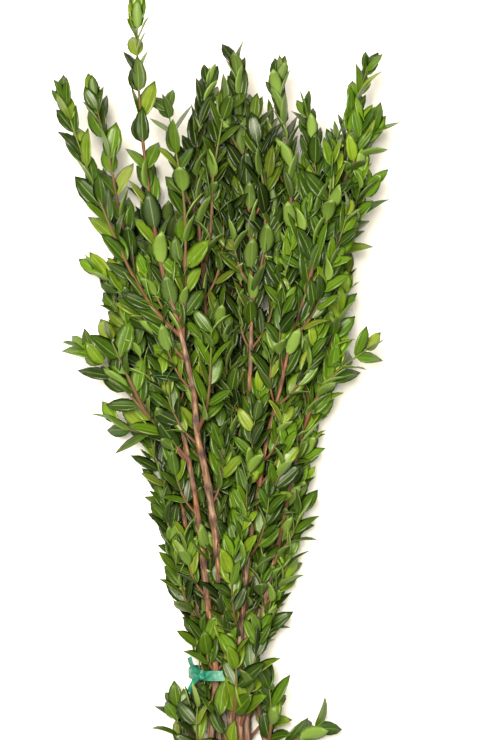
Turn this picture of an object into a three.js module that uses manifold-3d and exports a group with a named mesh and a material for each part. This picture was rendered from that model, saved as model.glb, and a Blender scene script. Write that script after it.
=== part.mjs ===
// A bunch of cut myrtle lying on a table: thirteen leafy branches held by one loop of plastic tie tape.
// Millimetres, +Z up, +Y from the cut ends towards the tips. Every route below is measured from the
// middle of the tie, with z above the table. The finished bunch is then moved so that its origin is the
// middle of its footprint, on the table.
import * as THREE from "three";
import Module from "manifold-3d";
import { mergeVertices } from "three/addons/utils/BufferGeometryUtils.js";

const wasm = await Module();
wasm.setup();

// ---- Driving dimensions -------------------------------------------------------------------------
const GAP = 0.35; // clear space kept between two separate pieces

const STEM_SIDES = 6;
const STEM_STEP = 52; // between the rings of a main stem
const TWIG_SIDES = 4;
const TWIG_STEP = 30; // between the rings of a fork or a side shoot
const TIP_RADIUS = 0.7;

const LEAF_LENGTH = 31;
const LEAF_SLENDERNESS = 0.5; // width over length
const LEAF_WIDEST = 0.42; // how far along the blade it is widest
const LEAF_KEEL = 1.6; // how far the midrib stands above the edges of the blade
const LEAF_RISE = THREE.MathUtils.degToRad(36); // angle between a leaf and its stem
const LEAF_FIRST_TURN = THREE.MathUtils.degToRad(22); // of each limb's first pair, round its stem
const LEAF_TURN = 0.7; // how strongly the blades turn up to the light
const LEAF_LOWEST = 1; // a leaf lies on the table, not in it
const LEAF_SPACING = 27; // between pairs: one pair stands for about three on the plant
const LEAF_TIP_SHARE = 0.6; // size of the youngest leaves
const CROWN_LENGTH = 185; // leafy top of a main stem
const TWIG_BARE_LENGTH = 14; // leafless start of a fork or a side shoot

const SHOOT_SPACING = 66;
const SHOOT_FIRST = 30; // from the cut end to the first side shoot
const SHOOT_LENGTH = 52;
const SHOOT_GROWTH = 26; // how much longer the side shoots are halfway up
const SHOOT_RADIUS = 1.4;
const SHOOT_RISES = [34, 24, 12].map(THREE.MathUtils.degToRad); // from where it leaves the stem to its tip
const SHOOT_TRIES = 12; // turns tried round the stem to find a clear way
const SHOOT_LOWEST = 5; // a side shoot lies on the table, not in it
const GOLDEN_ANGLE = THREE.MathUtils.degToRad(137.5);
const MARK_STEP = 4; // spacing of the points that clearance is measured between
const WOOD_CLEARANCE = 2; // clear space looked for between a shoot and other wood
const BASE_MARKS = 3; // marks at the base of a shoot, where it grows out of its own stem

const TIE_WIDTH = 10;
const TIE_THICKNESS = 0.8;
const TIE_HALF_WIDTH = 35; // of the loop, across the bunch
const TIE_HALF_HEIGHT = 23;
const TIE_HEIGHT = 30; // of the loop's middle above the table
const TIE_SIDES = 14; // of each half of the loop
const KNOT_RADIUS = 4;
const KNOT_SIDES = 6;
const KNOT_PLACE = [-22, 0, 49.5];
const TIE_END = [[-23, 0, 49.5], [-31, 8, 48.5], [-35, 19, 45]]; // the other end is its mirror image
const TIE_END_STEPS = 4;

const BRANCH_COLOUR = 0x4a7a22;
const TIE_COLOUR = 0x35b08a;

// ---- The branches --------------------------------------------------------------------------------
// Each has the radius of its cut end and the route of its main stem from the cut end to the growing
// tip, then the forks that give it its own outline, each with a radius and a route.
const BRANCHES = [
  {
    name: "branch_front_fork",
    radius: 4.6,
    route: [
      [14, -112, 40], [7, -50, 42], [3, 0, 44], [1, 54, 49], [-5, 100, 56], [-10, 142, 62],
      [-18, 194, 70], [-26, 232, 76], [-29, 270, 82], [-35, 299, 87], [-40, 322, 90],
      [-58, 385, 98], [-66, 430, 102], [-73, 480, 104], [-79, 545, 104], [-81, 600, 103],
      [-81, 626, 103],
    ],
    forks: [
      {
        radius: 2.6,
        route: [
          [-40, 322, 90], [-63, 345, 94], [-81, 372, 98], [-98, 406, 102], [-117, 452, 104],
          [-135, 500, 104], [-152, 552, 103],
        ],
      },
      {
        radius: 2,
        route: [[-39, 318, 89], [-37, 378, 97], [-37, 440, 101], [-46, 500, 101], [-54, 540, 99]],
      },
      { radius: 1.6, route: [[-35, 299, 87], [-54, 318, 84], [-74, 338, 80], [-88, 362, 78]] },
      { radius: 1.6, route: [[-26, 232, 76], [-17, 256, 92], [-13, 294, 104], [-12, 334, 111]] },
      { radius: 1.5, route: [[7, -50, 42], [10, -24, 56], [11, 0, 62], [9, 28, 66]] },
      { radius: 1.5, route: [[11, -84, 41], [4, -68, 52], [-3, -48, 58], [-8, -22, 59]] },
    ],
  },
  {
    name: "branch_left",
    radius: 3.6,
    route: [
      [-20, -104, 40], [-13, -50, 40], [-9, 0, 41], [-17, 73, 45], [-26, 152, 50], [-34, 202, 54],
      [-45, 254, 58], [-62, 320, 62], [-83, 382, 68], [-99, 439, 72], [-110, 498, 74],
      [-121, 540, 74], [-124, 558, 74],
    ],
    forks: [
      {
        radius: 2,
        route: [
          [-35, 206, 55], [-58, 232, 60], [-76, 252, 64], [-98, 277, 66], [-118, 300, 66],
          [-132, 311, 66],
        ],
      },
      { radius: 1.5, route: [[-56, 230, 60], [-75, 232, 56], [-93, 236, 52], [-108, 246, 50]] },
      { radius: 1.5, route: [[-76, 252, 64], [-92, 286, 70], [-103, 310, 72], [-110, 326, 72]] },
      { radius: 1.6, route: [[-62, 322, 62], [-80, 352, 58], [-98, 368, 54], [-118, 384, 52]] },
      { radius: 1.5, route: [[-18, -92, 40], [-24, -74, 50], [-27, -52, 56], [-26, -24, 57]] },
      { radius: 1.5, route: [[-19, -98, 40], [-32, -84, 41], [-42, -64, 40], [-47, -38, 36]] },
    ],
  },
  {
    name: "branch_left_low",
    radius: 3,
    route: [
      [-34, -96, 26], [-27, -50, 25], [-21, 0, 25], [-32, 100, 22], [-50, 200, 20], [-72, 300, 22],
      [-96, 380, 24], [-112, 440, 26], [-119, 474, 26],
    ],
    forks: [{ radius: 1.5, route: [[-30, -68, 25], [-41, -50, 22], [-49, -28, 20]] }],
  },
  {
    name: "branch_mid_left",
    radius: 3.2,
    route: [
      [-6, -118, 25], [-6, -50, 28], [-6, 0, 30], [-8, 100, 36], [-8, 168, 42], [-12, 263, 52],
      [-19, 358, 64], [-24, 425, 74], [-26, 472, 78], [-25, 507, 80], [-19, 545, 80], [-15, 564, 80],
    ],
    forks: [
      { radius: 1.6, route: [[-21, 380, 67], [-13, 425, 78], [-11, 470, 86], [-3, 520, 90], [2, 545, 90]] },
    ],
  },
  {
    name: "branch_middle",
    radius: 3.6,
    route: [
      [24, -108, 38], [20, -50, 39], [19, 0, 40], [18, 60, 44], [20, 130, 49], [23, 263, 59],
      [25, 333, 65], [25, 365, 69], [24, 426, 75], [20, 472, 77], [14, 539, 77], [10, 588, 76],
    ],
    forks: [
      { radius: 1.6, route: [[25, 350, 67], [36, 400, 76], [38, 440, 82], [33, 490, 84], [28, 520, 84]] },
    ],
  },
  {
    name: "branch_middle_low",
    radius: 3,
    route: [
      [6, -100, 14], [4, -50, 16], [3, 0, 18], [2, 100, 19], [1, 200, 23], [-1, 300, 30],
      [-3, 390, 37], [-2, 440, 41], [2, 500, 44], [4, 536, 45],
    ],
    forks: [],
  },
  {
    name: "branch_mid_right",
    radius: 3.4,
    route: [
      [14, -102, 27], [15, -50, 28], [15, 0, 29], [24, 80, 35], [37, 160, 43], [46, 222, 50],
      [53, 290, 57], [60, 370, 64], [62, 407, 67], [62, 469, 69], [57, 522, 69], [51, 552, 69],
      [52, 576, 69],
    ],
    forks: [],
  },
  {
    name: "branch_front_right",
    radius: 3.2,
    route: [
      [15, -94, 50], [14, -50, 48], [13, 0, 45], [20, 100, 58], [33, 187, 72], [41, 232, 78],
      [50, 265, 82], [63, 323, 88], [71, 347, 90], [80, 379, 92], [84, 420, 92], [86, 463, 90],
      [80, 515, 88], [76, 540, 88],
    ],
    forks: [
      { radius: 1.6, route: [[80, 379, 92], [93, 420, 96], [98, 455, 98], [100, 490, 98]] },
      { radius: 1.5, route: [[14, -50, 48], [21, -26, 57], [25, 0, 61], [30, 24, 63], [33, 46, 63]] },
    ],
  },
  {
    name: "branch_right",
    radius: 3.4,
    route: [
      [22, -110, 18], [22, -50, 20], [22, 0, 21], [42, 120, 28], [62, 200, 35], [82, 290, 45],
      [96, 370, 55], [106, 440, 63], [112, 490, 68], [120, 530, 70], [130, 562, 70], [135, 580, 70],
    ],
    forks: [
      { radius: 1.6, route: [[106, 440, 63], [116, 478, 71], [130, 503, 76], [144, 522, 78]] },
      { radius: 1.6, route: [[98, 385, 57], [115, 416, 60], [129, 447, 62], [141, 476, 62]] },
      { radius: 1.5, route: [[22, -68, 20], [36, -50, 17], [47, -28, 15]] },
    ],
  },
  {
    name: "branch_right_side",
    radius: 2.9,
    route: [
      [44, -90, 35], [35, -50, 33], [27, 0, 32], [38, 70, 39], [52, 130, 46], [64, 190, 52],
      [77, 246, 57], [88, 300, 60], [98, 346, 61], [104, 372, 62],
    ],
    forks: [
      {
        radius: 1.7,
        route: [[73, 232, 56], [88, 266, 61], [106, 290, 64], [126, 305, 65], [141, 315, 65]],
      },
      { radius: 1.5, route: [[41, -78, 34], [58, -70, 32], [78, -60, 28], [98, -46, 25]] },
      { radius: 1.5, route: [[40, -72, 34], [43, -56, 44], [44, -34, 49], [42, -10, 49]] },
    ],
  },
  {
    name: "branch_right_low",
    radius: 3,
    route: [
      [14, -92, 11], [12, -50, 12], [11, 0, 13], [26, 110, 12], [50, 220, 14], [82, 330, 17],
      [106, 410, 19], [120, 450, 20],
    ],
    forks: [],
  },
  {
    name: "branch_table",
    radius: 3,
    route: [
      [-14, -98, 10], [-12, -50, 12], [-11, 0, 13], [-19, 110, 12], [-34, 220, 12], [-54, 330, 14],
      [-68, 420, 17], [-76, 474, 18],
    ],
    forks: [],
  },
  {
    name: "branch_heart",
    radius: 3,
    route: [
      [5, -104, 31], [4, -50, 31], [4, 0, 31], [8, 100, 36], [13, 200, 41], [20, 300, 46],
      [28, 400, 51], [34, 470, 54], [37, 518, 54],
    ],
    forks: [],
  },
];

// ---- Solids ----------------------------------------------------------------------------------------
function solidOf(geometry) {
  geometry.deleteAttribute("normal");
  geometry.deleteAttribute("uv");
  const merged = mergeVertices(geometry, 1e-4);
  return new wasm.Manifold(
    new wasm.Mesh({
      numProp: 3,
      vertProperties: merged.attributes.position.array,
      triVerts: new Uint32Array(merged.index.array),
    }),
  );
}

function meshOf(name, solid, colour) {
  const { vertProperties, triVerts } = solid.getMesh();
  const geometry = new THREE.BufferGeometry();
  geometry.setAttribute("position", new THREE.BufferAttribute(vertProperties, 3));
  geometry.setIndex(new THREE.BufferAttribute(triVerts, 1));
  const mesh = new THREE.Mesh(
    geometry,
    new THREE.MeshStandardMaterial({ color: colour, roughness: 0.45, metalness: 0, flatShading: true }),
  );
  mesh.name = name;
  return mesh;
}

// ---- Wood ------------------------------------------------------------------------------------------
function curveThrough(points) {
  return new THREE.CatmullRomCurve3(points, false, "catmullrom", 0.5);
}

// A unit vector square to the tangent, turned by angle round it from the side away from the table.
function sideways(tangent, angle) {
  const across = new THREE.Vector3(0, 0, 1).cross(tangent).normalize();
  const above = tangent.clone().cross(across);
  return above.multiplyScalar(Math.cos(angle)).addScaledVector(across, Math.sin(angle));
}

// A stem, a fork or a shoot: straight pieces between rings, thinner at each ring up to the tip.
function limbOf(curve, radius, sides, ringStep, bareLength) {
  const rings = Math.max(2, Math.round(curve.getLength() / ringStep));
  const centres = curve.getSpacedPoints(rings);
  const axis = new THREE.CurvePath();
  centres.slice(1).forEach((end, i) => axis.add(new THREE.LineCurve3(centres[i], end)));

  const section = new THREE.Shape(
    Array.from({ length: sides }, (_, i) => {
      const turn = (2 * Math.PI * i) / sides;
      return new THREE.Vector2(Math.cos(turn), Math.sin(turn));
    }),
  );
  const tube = new THREE.ExtrudeGeometry(section, { depth: rings, steps: rings, bevelEnabled: false });
  const { normals, binormals } = curve.computeFrenetFrames(rings);
  const position = tube.getAttribute("position");
  for (let v = 0; v < position.count; v++) {
    const ring = Math.round(position.getZ(v));
    const ringRadius = THREE.MathUtils.lerp(radius, TIP_RADIUS, ring / rings);
    const point = centres[ring]
      .clone()
      .addScaledVector(normals[ring], position.getX(v) * ringRadius)
      .addScaledVector(binormals[ring], position.getY(v) * ringRadius);
    position.setXYZ(v, point.x, point.y, point.z);
  }
  return {
    axis,
    length: axis.getLength(),
    bareLength,
    radius,
    solid: solidOf(tube),
    marks: curve.getSpacedPoints(Math.ceil(curve.getLength() / MARK_STEP)),
  };
}

function mainStem({ route, radius }) {
  const curve = curveThrough(route.map((p) => new THREE.Vector3(...p)));
  const bareLength = curve.getLength() - CROWN_LENGTH;
  return limbOf(curve, radius, STEM_SIDES, STEM_STEP, bareLength);
}

function fork({ route, radius }) {
  const curve = curveThrough(route.map((p) => new THREE.Vector3(...p)));
  return limbOf(curve, radius, TWIG_SIDES, TWIG_STEP, TWIG_BARE_LENGTH);
}

// A side shoot leans out where it leaves the stem and turns to run along it.
function sideShoot(stem, share, angle, length) {
  const tangent = stem.axis.getTangent(share);
  const out = sideways(tangent, angle);
  const points = [stem.axis.getPoint(share)];
  for (const rise of SHOOT_RISES) {
    const step = tangent.clone().multiplyScalar(Math.cos(rise)).addScaledVector(out, Math.sin(rise));
    const next = points.at(-1).clone().addScaledVector(step, length / SHOOT_RISES.length);
    next.z = Math.max(next.z, SHOOT_LOWEST);
    points.push(next);
  }
  return limbOf(curveThrough(points), SHOOT_RADIUS, TWIG_SIDES, TWIG_STEP, TWIG_BARE_LENGTH);
}

// Whether a shoot keeps clear of the limbs, apart from the marks where it grows out of its own stem.
function clearOfWood(shoot, limbs, marksToSkip) {
  return shoot.marks.slice(marksToSkip).every((mark) =>
    limbs.every((limb) => {
      const clear = limb.radius + SHOOT_RADIUS + WOOD_CLEARANCE;
      return limb.marks.every((other) => mark.distanceTo(other) > clear);
    }),
  );
}

function growShoots(branch, branches, tieLimb) {
  const stem = branch.limbs[0];
  let turn = branches.indexOf(branch);
  for (let at = SHOOT_FIRST; at < stem.length - CROWN_LENGTH; at += SHOOT_SPACING) {
    const share = at / stem.length;
    const length = SHOOT_LENGTH + SHOOT_GROWTH * Math.sin(Math.PI * share);
    const others = branches.filter((other) => other !== branch).flatMap((other) => other.limbs);
    for (let tries = 0; tries < SHOOT_TRIES; tries++) {
      turn += 1;
      const shoot = sideShoot(stem, share, turn * GOLDEN_ANGLE, length);
      if (clearOfWood(shoot, [...others, tieLimb], 0) && clearOfWood(shoot, branch.limbs, BASE_MARKS)) {
        branch.limbs.push(shoot);
        break;
      }
    }
  }
}

// ---- Leaves ----------------------------------------------------------------------------------------
// A blade of four faces, one unit long and wide: its midrib runs from the origin to +Y, and the two
// edges of the blade lie one unit below the midrib at the widest place.
function bladeGeometry() {
  const blade = new THREE.TetrahedronGeometry(Math.sqrt(3) / 2).rotateZ(Math.PI / 4);
  blade.scale(Math.SQRT1_2, Math.SQRT1_2, 1).translate(0, 0.5, -0.5);
  return blade.applyMatrix4(new THREE.Matrix4().makeShear(0, 0, 0, 0, 0, 0.5 - LEAF_WIDEST));
}
const BLADE = bladeGeometry();

function leafSolid(base, tangent, angle, length, margin) {
  const out = sideways(tangent, angle);
  const up = new THREE.Vector3(0, 0, 1);
  const along = tangent.clone().multiplyScalar(Math.cos(LEAF_RISE)).addScaledVector(out, Math.sin(LEAF_RISE));
  along.z = Math.max(along.z, (LEAF_LOWEST - base.z) / length);
  const level = Math.sqrt(1 - along.z ** 2) / Math.hypot(along.x, along.y);
  along.multiply(new THREE.Vector3(level, level, 1));
  const light = tangent.clone().addScaledVector(out, -1).addScaledVector(up, LEAF_TURN);
  const across = along.clone().cross(light).normalize();
  const sideDrop = (Math.abs(across.z) * length * LEAF_SLENDERNESS) / 2;
  const middleHeight = base.z + along.z * length * LEAF_WIDEST - LEAF_KEEL;
  if (middleHeight - sideDrop < LEAF_LOWEST) {
    across.crossVectors(along, up).normalize();
  }
  const face = across.clone().cross(along);
  const place = base.clone().addScaledVector(face, margin);
  const grown = new THREE.Matrix4().makeBasis(
    across.multiplyScalar(length * LEAF_SLENDERNESS + 2 * margin),
    along.multiplyScalar(length + 2 * margin),
    face.multiplyScalar(LEAF_KEEL + 2 * margin),
  );
  return solidOf(BLADE.clone().applyMatrix4(grown.setPosition(place)));
}

function touches(solid, pieces) {
  return pieces.some((piece) => solid.intersect(piece).getMesh().triVerts.length > 0);
}

function growLeaves(branch, otherPieces) {
  const leaves = [];
  for (const limb of branch.limbs) {
    const otherLimbs = branch.limbs.filter((other) => other !== limb).map((other) => other.solid);
    let pair = 0;
    for (let at = limb.bareLength; at < limb.length; at += LEAF_SPACING) {
      const share = at / limb.length;
      const base = limb.axis.getPoint(share);
      const tangent = limb.axis.getTangent(share);
      const length = LEAF_LENGTH * THREE.MathUtils.lerp(1, LEAF_TIP_SHARE, share ** 3);
      const opposite = [0, Math.PI].map((side) => LEAF_FIRST_TURN + (pair * Math.PI) / 2 + side);
      const inTheWay = [...otherPieces, ...otherLimbs, ...leaves];
      const free = opposite.filter(
        (angle) => !touches(leafSolid(base, tangent, angle, length, GAP), inTheWay),
      );
      leaves.push(...free.map((angle) => leafSolid(base, tangent, angle, length, 0)));
      pair += 1;
    }
  }
  return leaves;
}

// ---- The tie ---------------------------------------------------------------------------------------
// One length of flat tape round the bunch, with a small knot at its upper left and two free ends.
function tieLoop() {
  const outer = [TIE_HALF_WIDTH + TIE_THICKNESS, TIE_HALF_HEIGHT + TIE_THICKNESS];
  const outline = new THREE.Shape().absellipse(0, 0, ...outer, 0, 2 * Math.PI);
  outline.holes.push(new THREE.Path().absellipse(0, 0, TIE_HALF_WIDTH, TIE_HALF_HEIGHT, 0, 2 * Math.PI));
  const loop = new THREE.ExtrudeGeometry(outline, {
    depth: TIE_WIDTH,
    bevelEnabled: false,
    curveSegments: TIE_SIDES,
  });
  loop.rotateX(Math.PI / 2);
  loop.translate(0, TIE_WIDTH / 2, TIE_HEIGHT);
  return solidOf(loop);
}

function tieEnd(points) {
  const section = new THREE.Shape([
    new THREE.Vector2(-TIE_THICKNESS / 2, -TIE_WIDTH / 2),
    new THREE.Vector2(TIE_THICKNESS / 2, -TIE_WIDTH / 2),
    new THREE.Vector2(TIE_THICKNESS / 2, TIE_WIDTH / 2),
    new THREE.Vector2(-TIE_THICKNESS / 2, TIE_WIDTH / 2),
  ]);
  const path = curveThrough(points.map((p) => new THREE.Vector3(...p)));
  const settings = { steps: TIE_END_STEPS, bevelEnabled: false, extrudePath: path };
  return solidOf(new THREE.ExtrudeGeometry(section, settings));
}

function tieSolid() {
  const knot = new THREE.SphereGeometry(KNOT_RADIUS, KNOT_SIDES, KNOT_SIDES).translate(...KNOT_PLACE);
  const mirrored = TIE_END.map(([x, y, z]) => [x, -y, z]);
  return tieLoop().add(solidOf(knot)).add(tieEnd(TIE_END)).add(tieEnd(mirrored));
}

function tieClearanceMarks() {
  const ring = new THREE.EllipseCurve(0, 0, TIE_HALF_WIDTH, TIE_HALF_HEIGHT);
  return ring.getSpacedPoints(Math.ceil(ring.getLength() / MARK_STEP)).flatMap(({ x, y }) =>
    [-TIE_WIDTH / 2, 0, TIE_WIDTH / 2].map((along) => new THREE.Vector3(x, along, y + TIE_HEIGHT)),
  );
}

// ---- Assembly --------------------------------------------------------------------------------------
const bunch = new THREE.Group();
const tie = tieSolid();
bunch.add(meshOf("tie_tape", tie, TIE_COLOUR));

const branches = BRANCHES.map(({ name, forks, ...stem }) => ({
  name,
  limbs: [mainStem(stem), ...forks.map(fork)],
}));
const tieLimb = { radius: 0, marks: tieClearanceMarks() };
branches.forEach((branch) => growShoots(branch, branches, tieLimb));

const leavesOf = new Map();
for (const branch of branches) {
  const others = branches.filter((other) => other !== branch);
  const wood = others.flatMap((other) => other.limbs.map((limb) => limb.solid));
  const leaves = others.flatMap((other) => leavesOf.get(other) ?? []);
  leavesOf.set(branch, growLeaves(branch, [tie, ...wood, ...leaves]));
}
for (const branch of branches) {
  const pieces = [...branch.limbs.map((limb) => limb.solid), ...leavesOf.get(branch)];
  bunch.add(meshOf(branch.name, pieces.reduce((all, piece) => all.add(piece)), BRANCH_COLOUR));
}

const box = new THREE.Box3().setFromObject(bunch);
const middle = box.getCenter(new THREE.Vector3());
bunch.position.set(-middle.x, -middle.y, -box.min.z);

export default new THREE.Group().add(bunch);
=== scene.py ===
import math
import random

import bmesh
import bpy
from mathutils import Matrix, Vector


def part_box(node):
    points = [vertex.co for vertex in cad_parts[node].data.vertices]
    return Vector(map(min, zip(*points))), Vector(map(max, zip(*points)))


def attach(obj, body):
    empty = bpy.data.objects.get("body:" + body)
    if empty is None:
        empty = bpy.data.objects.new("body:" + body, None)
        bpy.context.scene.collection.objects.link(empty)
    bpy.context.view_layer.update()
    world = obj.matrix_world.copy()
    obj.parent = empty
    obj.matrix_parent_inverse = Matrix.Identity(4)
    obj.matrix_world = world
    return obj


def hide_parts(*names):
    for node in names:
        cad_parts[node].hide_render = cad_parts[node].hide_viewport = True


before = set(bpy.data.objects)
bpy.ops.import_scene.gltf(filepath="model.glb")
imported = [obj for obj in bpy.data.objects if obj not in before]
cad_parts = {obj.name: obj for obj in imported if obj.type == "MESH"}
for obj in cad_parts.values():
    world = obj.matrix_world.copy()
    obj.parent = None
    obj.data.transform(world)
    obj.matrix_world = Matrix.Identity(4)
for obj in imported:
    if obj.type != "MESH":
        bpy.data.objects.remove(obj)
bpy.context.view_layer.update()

# ---- Where the bunch lies, and the camera --------------------------------------------------------
# The bunch lies on the table with its tips away from the viewer, who looks straight down on it. Every
# route below is measured in metres from the middle of the tie's loop, with z above the table.
MM = 0.001
TIE_HALF_WIDTH = 35 * MM  # of the loop, inside the tape
TIE_HALF_HEIGHT = 23 * MM
TIE_HEIGHT = 30 * MM  # of the loop's middle above the table
TIE_THICKNESS = 0.8 * MM
tie_low, tie_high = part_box("tie_tape")
tie_middle = Vector((
    tie_high.x - TIE_HALF_WIDTH - TIE_THICKNESS,
    (tie_low.y + tie_high.y) / 2,
    tie_low.z - TIE_HEIGHT + TIE_HALF_HEIGHT + TIE_THICKNESS,
))

VIEW_MIDDLE = Vector((23.8, 291.6, 60)) * MM  # the point that the camera looks down on
VIEW_HEIGHT = 703 * MM  # how much of the bunch's length it takes in
LENS = 100
FARTHEST_SEEN = 20
camera_data = bpy.data.cameras.new("camera")
camera_data.lens = LENS
camera_data.clip_end = FARTHEST_SEEN
camera = bpy.data.objects.new("camera", camera_data)
bpy.context.collection.objects.link(camera)
distance = VIEW_HEIGHT * LENS / camera_data.sensor_width
camera.location = tie_middle + VIEW_MIDDLE + Vector((0, 0, distance))
bpy.context.scene.camera = camera

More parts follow.
